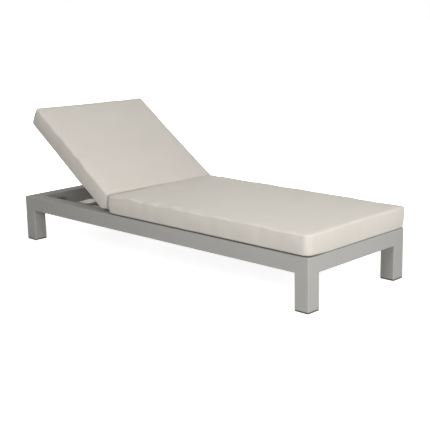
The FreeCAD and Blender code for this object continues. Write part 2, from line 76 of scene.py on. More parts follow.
def setCamera(view):
    turn, height, roll = (math.radians(view[key]) for key in ("turn", "height", "roll"))
    back = Vector((math.sin(turn) * math.cos(height), -math.cos(turn) * math.cos(height), math.sin(height)))
    right = Vector((math.cos(turn), math.sin(turn), 0))
    up = back.cross(right)
    rolledRight = right * math.cos(roll) + up * math.sin(roll)
    rolledUp = up * math.cos(roll) - right * math.sin(roll)
    data = bpy.data.cameras.new("camera")
    data.lens = view["lens"]
    data.sensor_width = view["sensor"]
    eye = bpy.data.objects.new("camera", data)
    bpy.context.scene.collection.objects.link(eye)
    facing = Matrix((rolledRight, rolledUp, back)).transposed().to_4x4()
    eye.matrix_world = Matrix.Translation(Vector(view["aim"]) + back * view["distance"]) @ facing
    bpy.context.scene.camera = eye


setCamera(camera)
print("camera set")


class Wire:
    # one socket's value; a sum on it adds the Math nodes
    def __init__(self, nodes, socket):
        self.nodes = nodes
        self.socket = socket

    def sum(self, operation, first, second):
        return self.nodes.add("ShaderNodeMath", {"operation": operation}, {0: first, 1: second})

    def __add__(self, other):
        return self.sum("ADD", self, other)

    def __radd__(self, other):
        return self.sum("ADD", other, self)

    def __sub__(self, other):
        return self.sum("SUBTRACT", self, other)

    def __rsub__(self, other):
        return self.sum("SUBTRACT", other, self)

    def __mul__(self, other):
        return self.sum("MULTIPLY", self, other)

    def __rmul__(self, other):
        return self.sum("MULTIPLY", other, self)

    def __gt__(self, other):
        return self.sum("GREATER_THAN", self, other)


class Nodes:
    # the nodes of one material or of the sky
    def __init__(self, tree):
        self.tree = tree
        tree.nodes.clear()

    def add(self, kind, settings=None, inputs=None, output=0):
        node = self.tree.nodes.new(kind)
        for key, value in (settings or {}).items():
            setattr(node, key, value)
        for key, value in (inputs or {}).items():
            if isinstance(value, Wire):
                self.tree.links.new(value.socket, node.inputs[key])
            else:
                node.inputs[key].default_value = value
        return Wire(self, node.outputs[output])

    def place(self):
        return self.add("ShaderNodeTexCoord", output="Object")

    def grain(self, where, scale, detail, stretch=None):
        # noise from 0 to 1; the scale is in features a metre
        if stretch:
            where = self.add("ShaderNodeVectorMath", {"operation": "MULTIPLY"}, {0: where, 1: stretch})
        return self.add("ShaderNodeTexNoise", {}, {"Vector": where, "Scale": scale, "Detail": detail}, "Fac")

    def between(self, share, low, high):
        # a number that goes from low to high as the share goes from 0 to 1
        return self.add("ShaderNodeMapRange", {}, {"Value": share, "To Min": low, "To Max": high})

    def share(self, value, start, end):
        # goes from 0 to 1 as the value goes from its start to its end
        return self.add("ShaderNodeMapRange", {}, {"Value": value, "From Min": start, "From Max": end})

    def edgeShare(self, reach, start, end):
        # nears 1 along the piece's edges, where a normal rounded over the reach leaves the true one
        rounded = self.add("ShaderNodeBevel", {"samples": 4}, {"Radius": reach})
        true = self.add("ShaderNodeNewGeometry", output="True Normal")
        same = self.add("ShaderNodeVectorMath", {"operation": "DOT_PRODUCT"}, {0: rounded, 1: true}, "Value")
        return self.share(1 - same, start, end)

    def blendColour(self, share, first, second):
        inputs = {0: share, 6: first, 7: second}
        return self.add("ShaderNodeMix", {"data_type": "RGBA"}, inputs, 2)

    def bump(self, height, distance, strength=1.0, under=None):
        inputs = {"Height": height, "Distance": distance, "Strength": strength}
        if under:
            inputs["Normal"] = under
        return self.add("ShaderNodeBump", {}, inputs)

    def seesWhite(self):
        # 1 for the rays that show the background: the camera's, and those that metal or glass sends on
        kinds = ("Is Camera Ray", "Is Glossy Ray", "Is Transmission Ray")
        direct, mirrored, passed = (self.add("ShaderNodeLightPath", output=kind) for kind in kinds)
        return direct.sum("MAXIMUM", direct.sum("MAXIMUM", direct, mirrored), passed)


class Paint(Nodes):
    # a material; fixed values go straight onto the surface shader's own sockets
    def __init__(self, name, **fixed):
        self.material = bpy.data.materials.new(name)
        self.material.use_nodes = True
        super().__init__(self.material.node_tree)
        self.surface = self.tree.nodes.new("ShaderNodeBsdfPrincipled")
        self.output = self.tree.nodes.new("ShaderNodeOutputMaterial")
        self.tree.links.new(self.surface.outputs[0], self.output.inputs[0])
        for key, value in fixed.items():
            self.surface.inputs[key.replace("_", " ")].default_value = value

    def feed(self, **wires):
        for key, wire in wires.items():
            self.tree.links.new(wire.socket, self.surface.inputs[key.replace("_", " ")])


def shade(colour, factor):
    return tuple(min(1.0, part * factor) for part in colour[:3]) + (1.0,)


def fromScreen(red, green, blue):
    # a colour given as a screen's levels, 0 to 255, taken through the screen's curve for the shader
    parts = []
    for part in (red, green, blue):
        share = part / 255
        parts.append(share / 12.92 if share <= 0.04045 else ((share + 0.055) / 1.055) ** 2.4)
    return tuple(parts) + (1.0,)


# Powder coat: each part's colour and roughness, then what they share: a low shine, how far the colour varies,
# the fine texture of the baked powder, and the lighter wear along the edges. Scales are in features a metre.
coats = {
    "frame_paint": {"colour": fromScreen(171, 169, 165), "roughness": 0.75},
    "deck_paint": {"colour": fromScreen(166, 164, 160), "roughness": 0.78},
    "inner_paint": {"colour": fromScreen(172, 169, 164), "roughness": 0.81},
    "hardware_paint": {"colour": fromScreen(150, 148, 144), "roughness": 0.8},
}
coatTexture = {
    "gloss": 0.1, "cloudScale": 4.0, "cloudDepth": 0.05, "smoother": 0.04, "rougher": 0.05,
    "speckScale": 1800.0, "speckDepth": 0.10, "speckShade": 0.7,
    "peelScale": 420.0, "peelHeight": 0.00008, "gritScale": 1500.0, "gritHeight": 0.00003,
    "edgeReach": 3 * mm, "edgeFrom": 0.02, "edgeTo": 0.2, "edgeShade": 1.15,
    "wearScale": 60.0, "wearDepth": 0.9,
}


def powderCoat(name, coat):
    look, colour = coatTexture, coat["colour"]
    paint = Paint(name, Metallic=0.0, IOR=1.5, Specular_IOR_Level=look["gloss"])
    where = paint.place()
    clouds = paint.grain(where, look["cloudScale"], 3)
    depth = look["cloudDepth"]
    tone = paint.blendColour(clouds, shade(colour, 1 - depth), shade(colour, 1 + depth))
    specks = paint.between(paint.grain(where, look["speckScale"], 1), 0, look["speckDepth"])
    specked = paint.blendColour(specks, tone, shade(colour, look["speckShade"]))
    worn = paint.edgeShare(look["edgeReach"], look["edgeFrom"], look["edgeTo"])
    worn = worn * paint.between(paint.grain(where, look["wearScale"], 3), 0, look["wearDepth"])
    seen = paint.blendColour(worn, specked, shade(colour, look["edgeShade"]))
    skin = paint.bump(paint.grain(where, look["peelScale"], 2), look["peelHeight"])
    skin = paint.bump(paint.grain(where, look["gritScale"], 1), look["gritHeight"], under=skin)
    rough = paint.between(clouds, coat["roughness"] - look["smoother"], coat["roughness"] + look["rougher"])
    paint.feed(Base_Color=seen, Roughness=rough, Normal=skin)
    return paint.material


# Plain steel, nylon and the foot caps' plastic, then the unevenness that they share.
smallFinishes = {
    "bolt_steel": {"colour": (0.52, 0.52, 0.53, 1), "metallic": 1.0, "roughness": 0.32, "scale": 900.0},
    "bush_nylon": {"colour": (0.016, 0.016, 0.016, 1), "metallic": 0.0, "roughness": 0.5, "scale": 700.0},
    "foot_plastic": {"colour": (0.045, 0.044, 0.042, 1), "metallic": 0.0, "roughness": 0.6, "scale": 500.0},
}
smallTexture = {
    "cloudScale": 40, "darker": 0.85, "lighter": 1.15, "smoother": 0.07, "rougher": 0.09, "height": 0.00005,
}


def smallPart(name, finish):
    look, colour = smallTexture, finish["colour"]
    paint = Paint(name, Metallic=finish["metallic"], IOR=1.5)
    where = paint.place()
    clouds = paint.grain(where, look["cloudScale"], 3)
    fine = paint.grain(where, finish["scale"], 2)
    tone = paint.blendColour(clouds, shade(colour, look["darker"]), shade(colour, look["lighter"]))
    rough = paint.between(fine, finish["roughness"] - look["smoother"], finish["roughness"] + look["rougher"])
    paint.feed(Base_Color=tone, Roughness=rough, Normal=paint.bump(fine, look["height"]))
    return paint.material


# The pads' cover and the tapes: the two tones of the yarn, its pitch, and soft unevenness of the whole cloth.
# The tape's tones are painted lighter than its cloth, as painted light for the shade it lies in under the back
# pad.
cover = {
    "light": fromScreen(217, 212, 204),
    "dark": fromScreen(194, 188, 178),
    "pitch": 1.25 * mm,
    "roughness": 0.92,
    "yarnHeight": 0.00022,
    "rumpleScale": 22.0,
    "rumpleHeight": 0.0011,
}
# painted light: both tape tones are lighter than the cover's so that the tape looks lit in the shade under the
# back pad
tape = {
    "light": fromScreen(240, 236, 229),
    "dark": fromScreen(222, 217, 209),
    "pitch": 0.9 * mm,
    "roughness": 0.88,
    "yarnHeight": 0.0002,
    "rumpleScale": 60.0,
    "rumpleHeight": 0.0004,
}


# What both cloths share: how round a yarn looks, its streaks along and across, and what makes up the colour,
# with painted shade in the gaps between yarns.
weave = {
    "flat": 0.55, "round": 0.45, "streaks": (900, 45), "cloudScale": 5,
    "yarnShadeShare": 0.30, "streakShare": 0.45, "cloudShare": 0.30,
    "roughnessVaries": 0.05, "yarnStrength": 0.5, "rumpleStrength": 0.6,
}


def wovenCloth(name, cloth):
    # a plain weave: each yarn goes over one and under the next; weavePlace lies flat along the cloth
    paint = Paint(name, IOR=1.45, Specular_IOR_Level=0.25, Sheen_Weight=0.12, Sheen_Roughness=0.4)
    place = paint.add("ShaderNodeAttribute", {"attribute_name": "weavePlace"}, output="Vector")
    turns = math.pi / cloth["pitch"]
    phases = paint.add("ShaderNodeVectorMath", {"operation": "SCALE"}, {0: place, "Scale": turns})
    waves = paint.add("ShaderNodeVectorMath", {"operation": "SINE"}, {0: phases})
    along = paint.add("ShaderNodeSeparateXYZ", {}, {0: waves}, 0)
    across = paint.add("ShaderNodeSeparateXYZ", {}, {0: waves}, 1)
    warpOver = (along * across) > 0
    warpRound = paint.add("ShaderNodeMath", {"operation": "ABSOLUTE"}, {0: along})
    weftRound = paint.add("ShaderNodeMath", {"operation": "ABSOLUTE"}, {0: across})
    warpYarn = warpRound * (weave["flat"] + weave["round"] * weftRound)
    weftYarn = weftRound * (weave["flat"] + weave["round"] * warpRound)
    yarn = warpOver * warpYarn + (1 - warpOver) * weftYarn
    fine, coarse = weave["streaks"]
    warpTone = paint.grain(place, 1.0, 2, stretch=(fine, coarse, 1))
    weftTone = paint.grain(place, 1.0, 2, stretch=(coarse, fine, 1))
    tone = warpOver * warpTone + (1 - warpOver) * weftTone
    where = paint.place()
    clouds = paint.grain(where, weave["cloudScale"], 3)
    # painted shade: the yarns' crowns are lighter and the gaps between them darker, by the yarns' roundness
    share = weave["yarnShadeShare"] * yarn + weave["streakShare"] * tone + weave["cloudShare"] * clouds
    colour = paint.blendColour(share, cloth["dark"], cloth["light"])
    rumples = paint.grain(where, cloth["rumpleScale"], 2)
    soft = paint.bump(rumples, cloth["rumpleHeight"], weave["rumpleStrength"])
    skin = paint.bump(yarn, cloth["yarnHeight"], weave["yarnStrength"], soft)
    varies = weave["roughnessVaries"]
    rough = paint.between(tone, cloth["roughness"] - varies, cloth["roughness"] + varies)
    paint.feed(Base_Color=colour, Roughness=rough, Normal=skin)
    return paint.material


materials = {name: powderCoat(name, coat) for name, coat in coats.items()}
materials.update({name: smallPart(name, finish) for name, finish in smallFinishes.items()})
materials["pad_fabric"] = wovenCloth("pad_fabric", cover)
materials["strap_webbing"] = wovenCloth("strap_webbing", tape)
for part in frame["record"]["subparts"]:
    mesh = frame["nodes"][part["node"]].data
    mesh.materials.clear()
    mesh.materials.append(materials[part["material_slot"]])
print("finishes made:", len(materials))


# The pads, each in its own flat place: x along the lounger, y across, z up from the pad's underside.
# Lists of four are for the corners: head right, head left, foot right, foot left. In millimetres are the
# corners' radii, lifts, headSlopes, halfWidths and rightEdge.
pads = {
    "seatPad": {
        "node": "seat_pad",
        "head": -301 * mm,
        "foot": 1005 * mm,
        "lean": 0.0,  # how far the foot end's top leans back
        "skew": 6 * mm,  # how far the head end's corners are out of square
        "halfWidths": (355, 355, 355, 355),
        "corners": (34, 30, 30, 12),  # radii at the top
        "lowCorners": (66, 50, 42, 32),  # radii at the bottom
        "cornerEase": (3, 3, 3, 0.6),  # above 1 a corner keeps its top radius longer on its way down
        "lifts": (-1, 2, 0, 0),  # how much higher the top stands
        "headSlopes": (24, 44, 0, 0),  # how far the head end leans footwards at its top
        "headDip": 10 * mm,  # how far its top edge is pressed down there
        "carriedFrom": -400 * mm,  # the deck carries the pad from here to there
        "carriedTo": 930 * mm,
        "sideDroop": 1 * mm,
        "endDroop": 6 * mm,
        "cornerHold": 0.9,  # its right foot corner is stiffer and droops less, by this share
        "droopGrows": None,
        "seed": 11.0,
        "rightEdge": (  # how far the right top edge rises and dips along the pad
            (-245, 1), (-188, 1), (-123, 8), (-68, 0), (-25, -5), (51, 2), (89, -5), (145, 0), (180, 5),
            (240, -4), (300, 0), (360, -3), (420, -1), (480, 2), (540, 0), (600, -1), (660, 2), (720, 0),
            (780, -2), (840, -4), (900, -1), (960, -2),
        ),
    },
    "backPad": {
        "node": "back_pad",
        "head": -1024 * mm,
        "foot": -314 * mm,
        "lean": 14 * mm,
        "skew": 9 * mm,
        "halfWidths": (363, 365, 355, 368),
        "corners": (16, 14, 34, 18),
        "lowCorners": (36, 34, 50, 34),
        "cornerEase": (0.7, 0.7, 3, 3),
        "lifts": (-2, -6, 4, 14),
        "headSlopes": (0, 0, 0, 0),
        "headDip": 0.0,
        "carriedFrom": -1000 * mm,
        "carriedTo": -200 * mm,
        "sideDroop": 8 * mm,
        "endDroop": 8 * mm,
        "cornerHold": 0.0,
        "droopGrows": (440 * mm, 580 * mm),  # from none to full, this far towards the head end
        "seed": 47.0,
        "rightEdge": (
            (-980, -2), (-940, -4), (-900, 1), (-860, 0), (-820, -4), (-780, 2), (-740, -2), (-700, 1),
            (-660, -4), (-620, 2), (-580, 1), (-540, -5), (-500, -4), (-460, 0), (-420, 3), (-380, 2),
        ),
    },
}
padShape = {
    "thick": 90 * mm,
    "width": 710 * mm,
    "edge": 6 * mm,  # round of the long edges, with the seam in the middle of it
    "crown": 5 * mm,
    "drawIn": 1.5 * mm,  # how far the long sides are drawn in at their middles
    "endDrawIn": 0.6,  # the short sides are drawn in by this share of it
    "belly": 1.5 * mm,  # how far the sides swell between the seams
    "headDipRun": 90 * mm,  # the dip fades out over this
    "footLeanRun": 220 * mm,  # and the lean over this
    "cell": 11 * mm,  # size of the mesh's faces
    "sideRows": 7,
    "groove": 1.6 * mm,  # how deep the seam lies
    "grooveLean": 0.1,  # how much sideways it is cut
    "seamNear": 0.2 * mm,  # points this near to the seam's line belong to it
    "pucker": 0.9 * mm,  # little gathers along the seams
    "puckerLength": 38 * mm,
    "puckerReach": 14 * mm,
    "wave": 3.0 * mm,  # slow rise and fall of the top edges
    "waveLength": 120 * mm,
    "waveReach": 34 * mm,
    "rightBand": 100 * mm,  # the right edge's own rises fade out over this width
    "dent": 1.6 * mm,  # soft unevenness of the sides
    "dentLength": 95 * mm,
    "endZone": 60 * mm,  # dents push the cloth endways this near to the ends
    "sideways": 1.2,  # and more across than endways
    "carriedHalf": 270 * mm,  # the rim droops where it stands out past this, with nothing under it
    "rimInset": 25 * mm,  # and hangs down fully this far in from the side
    "footDroopRun": 40 * mm,  # the ends hang down fully this far past what carries them
    "headDroopRun": 15 * mm,
    "stiffFrom": 215 * mm,  # where cornerHold starts and is full, across the pad
    "stiffTo": 335 * mm,
    "droopTop": 0.8,  # the droop is gone at this share of the pad's height
    "lowest": 0.2 * mm,  # the flat underside
    "deckGap": 0.3 * mm,
    "creaseTop": 350 * mm,  # below this height the raised back's pad keeps off the seat pad
    "creaseGap": 0.6 * mm,
    "foldGap": 0.4 * mm,  # between the folded end and the deck
    "lowLift": 16 * mm,  # the raised back's pad lifts off at its lower corners
    "lowLiftFrom": 290 * mm,
    "lowLiftTo": 350 * mm,
}
ringShares = (0.0, 0.12, 0.29, 0.55, 1.0, 2.0, 3.4)  # rings near an edge, in edge rounds
seamInset = ringShares[2] * padShape["edge"]  # the third ring is the seam


def gridLines(half, cell, edge):
    near = [-half + share * edge for share in ringShares]
    count = max(2, round(-2 * near[-1] / cell))
    middle = [near[-1] + (index + 1) * (-2 * near[-1]) / count for index in range(count - 1)]
    return near + middle + [-value for value in reversed(near)]


def ringDepth(x, y, halfLong, halfWide):
    return min(halfLong - abs(x), halfWide - abs(y))


def byCorner(values, x, y, halfLong, halfWide):
    # a value between the four that belong to the corners: head right, head left, foot right, foot left
    footward = 0.5 + 0.5 * max(-1.0, min(1.0, x / halfLong))
    leftward = 0.5 + 0.5 * max(-1.0, min(1.0, y / halfWide))
    headSide = values[0] * (1 - leftward) + values[1] * leftward
    footSide = values[2] * (1 - leftward) + values[3] * leftward
    return headSide * (1 - footward) + footSide * footward


def roundCorner(x, y, halfLong, halfWide, corner):
    # a square corner's points pulled onto a round one, ring by ring
    overX = abs(x) - (halfLong - corner)
    overY = abs(y) - (halfWide - corner)
    if overX <= 0 or overY <= 0:
        return x, y
    pull = max(overX, overY) / math.hypot(overX, overY)
    newX = halfLong - corner + overX * pull
    newY = halfWide - corner + overY * pull
    return math.copysign(newX, x), math.copysign(newY, y)


def padCage(pad):
    # the pad's flat mesh, how far each point of its panels is from the rim, its faces and their weave places
    shape = padShape
    halfLong = (pad["foot"] - pad["head"]) / 2
    halfWide = shape["width"] / 2
    edge, thick = shape["edge"], shape["thick"]
    xs = gridLines(halfLong, shape["cell"], edge)
    ys = gridLines(halfWide, shape["cell"], edge)
    points, depths, faces, places = [], [], [], []

    def cornerAt(x, y, down):
        # the plan's corner radius, from the pad's top, 0, to its bottom, 1
        corner = (2 if x > 0 else 0) + (1 if y > 0 else 0)
        high, low = pad["corners"][corner], pad["lowCorners"][corner]
        return (high + (low - high) * down ** pad["cornerEase"][corner]) * mm

    def put(x, y, z, depth):
        # draws the sides in, lifts the corners, and leans the foot end back towards its top
        u, v = x / halfLong, y / halfWide
        high = z / thick
        z += byCorner(pad["lifts"], x, y, halfLong, halfWide) * mm * high
        slope = byCorner(pad["headSlopes"], -halfLong, y, halfLong, halfWide) * mm
        y = v * byCorner(pad["halfWidths"], x, y, halfLong, halfWide) * mm
        headward = max(0.0, -u)
        x += headward * (pad["skew"] * v + slope * high * headward ** 8)
        z -= pad["headDip"] * high * max(0.0, 1 - (x + halfLong) / shape["headDipRun"]) ** 2
        y -= v * abs(v) * shape["drawIn"] * (1 - u * u)
        x -= u * abs(u) * shape["drawIn"] * shape["endDrawIn"] * (1 - v * v)
        nearFoot = min(1.0, max(0.0, (x - halfLong + shape["footLeanRun"]) / shape["footLeanRun"]))
        x -= pad["lean"] * high * nearFoot * nearFoot * (3 - 2 * nearFoot)
        points.append((x + (pad["head"] + pad["foot"]) / 2, y, z))
        depths.append(depth)
        return len(points) - 1

    def panel(top):
        # top or bottom cloth, its rim turned down into the seam
        indices = {}
        for i, x in enumerate(xs):
            for j, y in enumerate(ys):
                depth = max(0.0, ringDepth(x, y, halfLong, halfWide))
                rim = edge - math.sqrt(max(0.0, edge * edge - max(0.0, edge - depth) ** 2))
                swell = (1 - abs(x / halfLong) ** 3) * (1 - abs(y / halfWide) ** 3) * shape["crown"]
                z = thick - rim + swell if top else rim
                newX, newY = roundCorner(x, y, halfLong, halfWide, cornerAt(x, y, 0 if top else 1))
                indices[i, j] = put(newX, newY, z, depth)
        for i in range(len(xs) - 1):
            for j in range(len(ys) - 1):
                corners = [(i, j), (i + 1, j), (i + 1, j + 1), (i, j + 1)]
                if not top:
                    corners.reverse()
                faces.append([indices[corner] for corner in corners])
                places.append([(xs[a], ys[b], 0) for a, b in corners])
        return indices

    topRing, bottomRing = panel(True), panel(False)
    lastX, lastY = len(xs) - 1, len(ys) - 1
    loop = [(i, 0) for i in range(lastX)] + [(lastX, j) for j in range(lastY)]
    loop += [(i, lastY) for i in range(lastX, 0, -1)] + [(0, j) for j in range(lastY, 0, -1)]
    rows = [[topRing[key] for key in loop]]
    for row in range(1, shape["sideRows"]):
        share = row / shape["sideRows"]
        line = []
        for i, j in loop:
            corner = cornerAt(xs[i], ys[j], share)
            x, y = roundCorner(xs[i], ys[j], halfLong, halfWide, corner)
            swell = shape["belly"] * math.sin(math.pi * share)
            inX = min(max(x, corner - halfLong), halfLong - corner)
            inY = min(max(y, corner - halfWide), halfWide - corner)
            outward = Vector((x - inX, y - inY)).normalized() * swell
            z = thick - edge - share * (thick - 2 * edge)
            line.append(put(x + outward.x, y + outward.y, z, 0.0))
        rows.append(line)
    rows.append([bottomRing[key] for key in loop])
    around = [0.0]
    for first, second in zip(rows[0], rows[0][1:] + rows[0][:1]):
        around.append(around[-1] + (Vector(points[first]) - Vector(points[second])).length)
    for row in range(len(rows) - 1):
        for step in range(len(loop)):
            after = (step + 1) % len(loop)
            faces.append([rows[row][step], rows[row + 1][step], rows[row + 1][after], rows[row][after]])
            heights = [points[rows[row][0]][2], points[rows[row + 1][0]][2]]
            places.append([
                (around[step], heights[0], 0), (around[step], heights[1], 0),
                (around[step + 1], heights[1], 0), (around[step + 1], heights[0], 0),
            ])
    return np.array(points), np.array(depths), faces, places


def meshFrom(name, points, faces, places, material):
    mesh = bpy.data.meshes.new(name)
    mesh.from_pydata([tuple(point) for point in points], [], faces)
    mesh.polygons.foreach_set("use_smooth", [True] * len(mesh.polygons))
    flat = mesh.attributes.new("weavePlace", "FLOAT_VECTOR", "CORNER")
    values = np.array([place for corners in places for place in corners], np.float32)
    flat.data.foreach_set("vector", values.ravel())
    mesh.materials.append(material)
    piece = bpy.data.objects.new(name, mesh)
    bpy.context.scene.collection.objects.link(piece)
    return piece


# The cover is blown up a little round its foam, then held to where the foam lets it go.
puffing = {
    "pressure": 4.0, "frames": 20, "reach": 5 * mm, "slack": -0.012, "seamHold": 0.55, "smoothing": 8,
    "quality": 7, "mass": 0.3, "stretch": 25, "shear": 8, "bend": 0.4, "heldBelow": 0.5 * mm,
}


def puff(name, points, depths, faces):
    mesh = bpy.data.meshes.new(name + "Cloth")
    mesh.from_pydata([tuple(point) for point in points], [], faces)
    cloth = bpy.data.objects.new(name + "Cloth", mesh)
    bpy.context.scene.collection.objects.link(cloth)
    held = cloth.vertex_groups.new(name="held")
    for index, (point, depth) in enumerate(zip(points, depths)):
        if point[2] < puffing["heldBelow"]:
            held.add([index], 1.0, "REPLACE")
        elif abs(depth - seamInset) < padShape["seamNear"]:
            held.add([index], puffing["seamHold"], "REPLACE")
    modifier = cloth.modifiers.new("cloth", "CLOTH")
    settings = modifier.settings
    settings.quality = puffing["quality"]
    settings.mass = puffing["mass"]
    settings.tension_stiffness = settings.compression_stiffness = puffing["stretch"]
    settings.shear_stiffness = puffing["shear"]
    settings.bending_stiffness = puffing["bend"]
    settings.use_pressure = True
    settings.uniform_pressure_force = puffing["pressure"]
    settings.effector_weights.gravity = 0
    settings.vertex_group_mass = "held"
    settings.shrink_min = puffing["slack"]
    modifier.collision_settings.use_collision = False
    modifier.collision_settings.use_self_collision = False
    modifier.point_cache.frame_start = 1
    modifier.point_cache.frame_end = puffing["frames"]
    scene = bpy.context.scene
    for step in range(1, puffing["frames"] + 1):
        scene.frame_set(step)
    blown = cloth.evaluated_get(bpy.context.evaluated_depsgraph_get())
    moved = np.empty(len(points) * 3)
    blown.data.vertices.foreach_get("co", moved)
    moved = moved.reshape(-1, 3)
    scene.frame_set(1)
    bpy.data.objects.remove(cloth)
    # the swelling is smoothed between neighbours, and no point goes further than the reach
    shift = moved - points
    pairs = np.array([(a, b) for face in faces for a, b in zip(face, face[1:] + face[:1])])
    counts = np.bincount(pairs[:, 0], minlength=len(points))[:, None]
    for step in range(puffing["smoothing"]):
        around = np.zeros_like(shift)
        np.add.at(around, pairs[:, 0], shift[pairs[:, 1]])
        shift = (shift + around / counts) / 2
    length = np.linalg.norm(shift, axis=1, keepdims=True) + 1e-9
    reach = puffing["reach"]
    return points + shift / length * reach * np.tanh(length / reach)


def edgeRise(stations, x):
    # an even curve through the listed rises, level beyond the last ones
    places = [place * mm for place, rise in stations]
    rises = [rise * mm for place, rise in stations]
    if x <= places[0] or x >= places[-1]:
        return rises[0] if x <= places[0] else rises[-1]
    after = next(index for index, place in enumerate(places) if place > x)
    share = (x - places[after - 1]) / (places[after] - places[after - 1])
    share = share * share * (3 - 2 * share)
    return rises[after - 1] * (1 - share) + rises[after] * share


def sewSeams(points, depths, pad):
    # the seam lies in a fine groove; the cloth gathers a little along it, and the edges rise and fall
    shape = padShape
    thick = shape["thick"]
    worked = points.copy()
    shift = Vector((pad["seed"], 2 * pad["seed"], 0))
    pushShift = Vector((7.3, 1.7, 3.1))  # so that the sideways gathers differ from the upright ones
    for index, (point, depth) in enumerate(zip(points, depths)):
        x, y, z = point
        away = Vector((shape["grooveLean"] * x, shape["grooveLean"] * y, z - thick / 2)).normalized()
        if abs(depth - seamInset) < shape["seamNear"]:
            worked[index] -= np.array(away) * shape["groove"]
        high = min(1.0, max(0.0, z / thick))
        fromSeam = depth if depth > 0 else min(abs(thick - z), abs(z))
        gather = shape["pucker"] * math.exp(-fromSeam / shape["puckerReach"])
        where = Vector(point) / shape["puckerLength"] + shift
        wave = shape["wave"] * noise.noise(Vector(point) / shape["waveLength"] + shift)
        rightward = min(1.0, max(0.0, 0.5 - y / shape["rightBand"]))
        wave += (edgeRise(pad["rightEdge"], x) - wave) * rightward
        worked[index][2] += wave * math.exp(-depth / shape["waveReach"]) * high * high
        worked[index][2] += gather * noise.noise(where) * high
        dents = Vector(point) / shape["dentLength"] - shift
        push = gather * noise.noise(where + pushShift)
        if depth == 0:
            push += shape["dent"] * noise.noise(dents) * math.sin(math.pi * high)
        inX = min(max(x, pad["head"] + shape["endZone"]), pad["foot"] - shape["endZone"])
        outward = Vector((x - inX, shape["sideways"] * y, 0)).normalized()
        worked[index][0] += push * outward.x
        worked[index][1] += push * outward.y
    return worked


def smoothShare(values, low, high):
    share = np.clip((values - low) / (high - low), 0, 1)
    return share * share * (3 - 2 * share)


def rimDroop(points, pad):
    # how far the pad's underside hangs down where nothing carries it
    shape = padShape
    beyondSide = smoothShare(np.abs(points[:, 1]), shape["carriedHalf"], shape["width"] / 2 - shape["rimInset"])
    beyondFoot = smoothShare(points[:, 0], pad["carriedTo"], pad["carriedTo"] + shape["footDroopRun"])
    beyondFoot *= 1 - pad["cornerHold"] * smoothShare(-points[:, 1], shape["stiffFrom"], shape["stiffTo"])
    beyondHead = smoothShare(-points[:, 0], -pad["carriedFrom"], shape["headDroopRun"] - pad["carriedFrom"])
    droop = np.maximum(pad["sideDroop"] * beyondSide, pad["endDroop"] * np.maximum(beyondFoot, beyondHead))
    if pad["droopGrows"]:
        droop *= smoothShare(-points[:, 0], *pad["droopGrows"])
    return droop


def padJoint(points):
    # where the two pads touch: a slope that leans towards the foot end, more so on the left
    seat = pads["seatPad"]
    leftward = np.clip(0.5 + points[:, 1] / padShape["width"], 0, 1)
    slope = (seat["headSlopes"][0] * (1 - leftward) + seat["headSlopes"][1] * leftward) * mm
    end = seat["head"] + seat["skew"] * (2 * leftward - 1)
    return end + slope * np.clip((points[:, 2] - deckTop) / padShape["thick"], 0, 1)


def raised(along, above):
    # where a place on the back stands, in x and z: up it from the hinge, and off its middle plane
    x = hinge.x - along * math.cos(backLift) + above * math.sin(backLift)
    z = hinge.z + along * math.sin(backLift) + above * math.cos(backLift)
    return x, z


def makePad(name, pad):
    shape = padShape
    points, depths, faces, places = padCage(pad)
    points = puff(name, points, depths, faces)
    points = sewSeams(points, depths, pad)
    points[:, 2] = np.maximum(points[:, 2], shape["lowest"])
    droop = rimDroop(points, pad)
    points[:, 2] -= droop * np.clip(1 - points[:, 2] / (shape["droopTop"] * shape["thick"]), 0, 1)
    points[:, 2] += deckTop + shape["deckGap"]
    if name == "seatPad":
        points[:, 0] = np.maximum(points[:, 0], padJoint(points))
    else:
        for point in points:
            point[0], point[2] = raised(hinge.x - point[0], point[2] - hinge.z)
        low = points[:, 2] < shape["creaseTop"]
        points[low, 0] = np.minimum(points[low, 0], padJoint(points[low]) - shape["creaseGap"])
        floor = deckTop + shape["foldGap"] - droop
        lifting = smoothShare(np.abs(points[:, 1]), shape["lowLiftFrom"], shape["lowLiftTo"])
        points[:, 2] = np.maximum(points[:, 2], floor + shape["lowLift"] * lifting)
    piece = meshFrom(name, points, faces, places, materials["pad_fabric"])
    smooth = piece.modifiers.new("smooth", "SUBSURF")
    smooth.levels = smooth.render_levels = 1
    bpy.context.view_layer.update()
    done = bpy.data.meshes.new_from_object(piece.evaluated_get(bpy.context.evaluated_depsgraph_get()))
    piece.modifiers.clear()
    piece.data = done
    done.name = name
    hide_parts(pad["node"])
    return piece


seatPad = makePad("seatPad", pads["seatPad"])
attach(seatPad, "root")
print("seat pad made:", len(seatPad.data.vertices), "points")
backPad = makePad("backPad", pads["backPad"])
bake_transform(backPad)
print("back pad made:", len(backPad.data.vertices), "points")


# The tapes that tie the back pad to its frame, one on each side.
tie = {
    "along": 66.5 * mm,  # up the back from the hinge
    "wide": 16 * mm,
    "thick": 1.4 * mm,
    "tube": (237 * mm, 269 * mm),  # inner and outer side of the tube that it goes round
    "underTube": -15 * mm,
    "overTube": 14.2 * mm,  # off the back's middle plane, as is the line above
    "gap": 1.0 * mm,
    "overlaps": (8 * mm, 6 * mm),  # how far its ends lie over the tube, from the inner and outer side
    "steps": 8,
}
tapeProfile = (  # across in half widths and up in thicknesses, round the tape's section
    (-1, 0.35), (-0.82, 0.5), (0.82, 0.5), (1, 0.35), (1, -0.35), (0.82, -0.5), (-0.82, -0.5), (-1, -0.35),
)


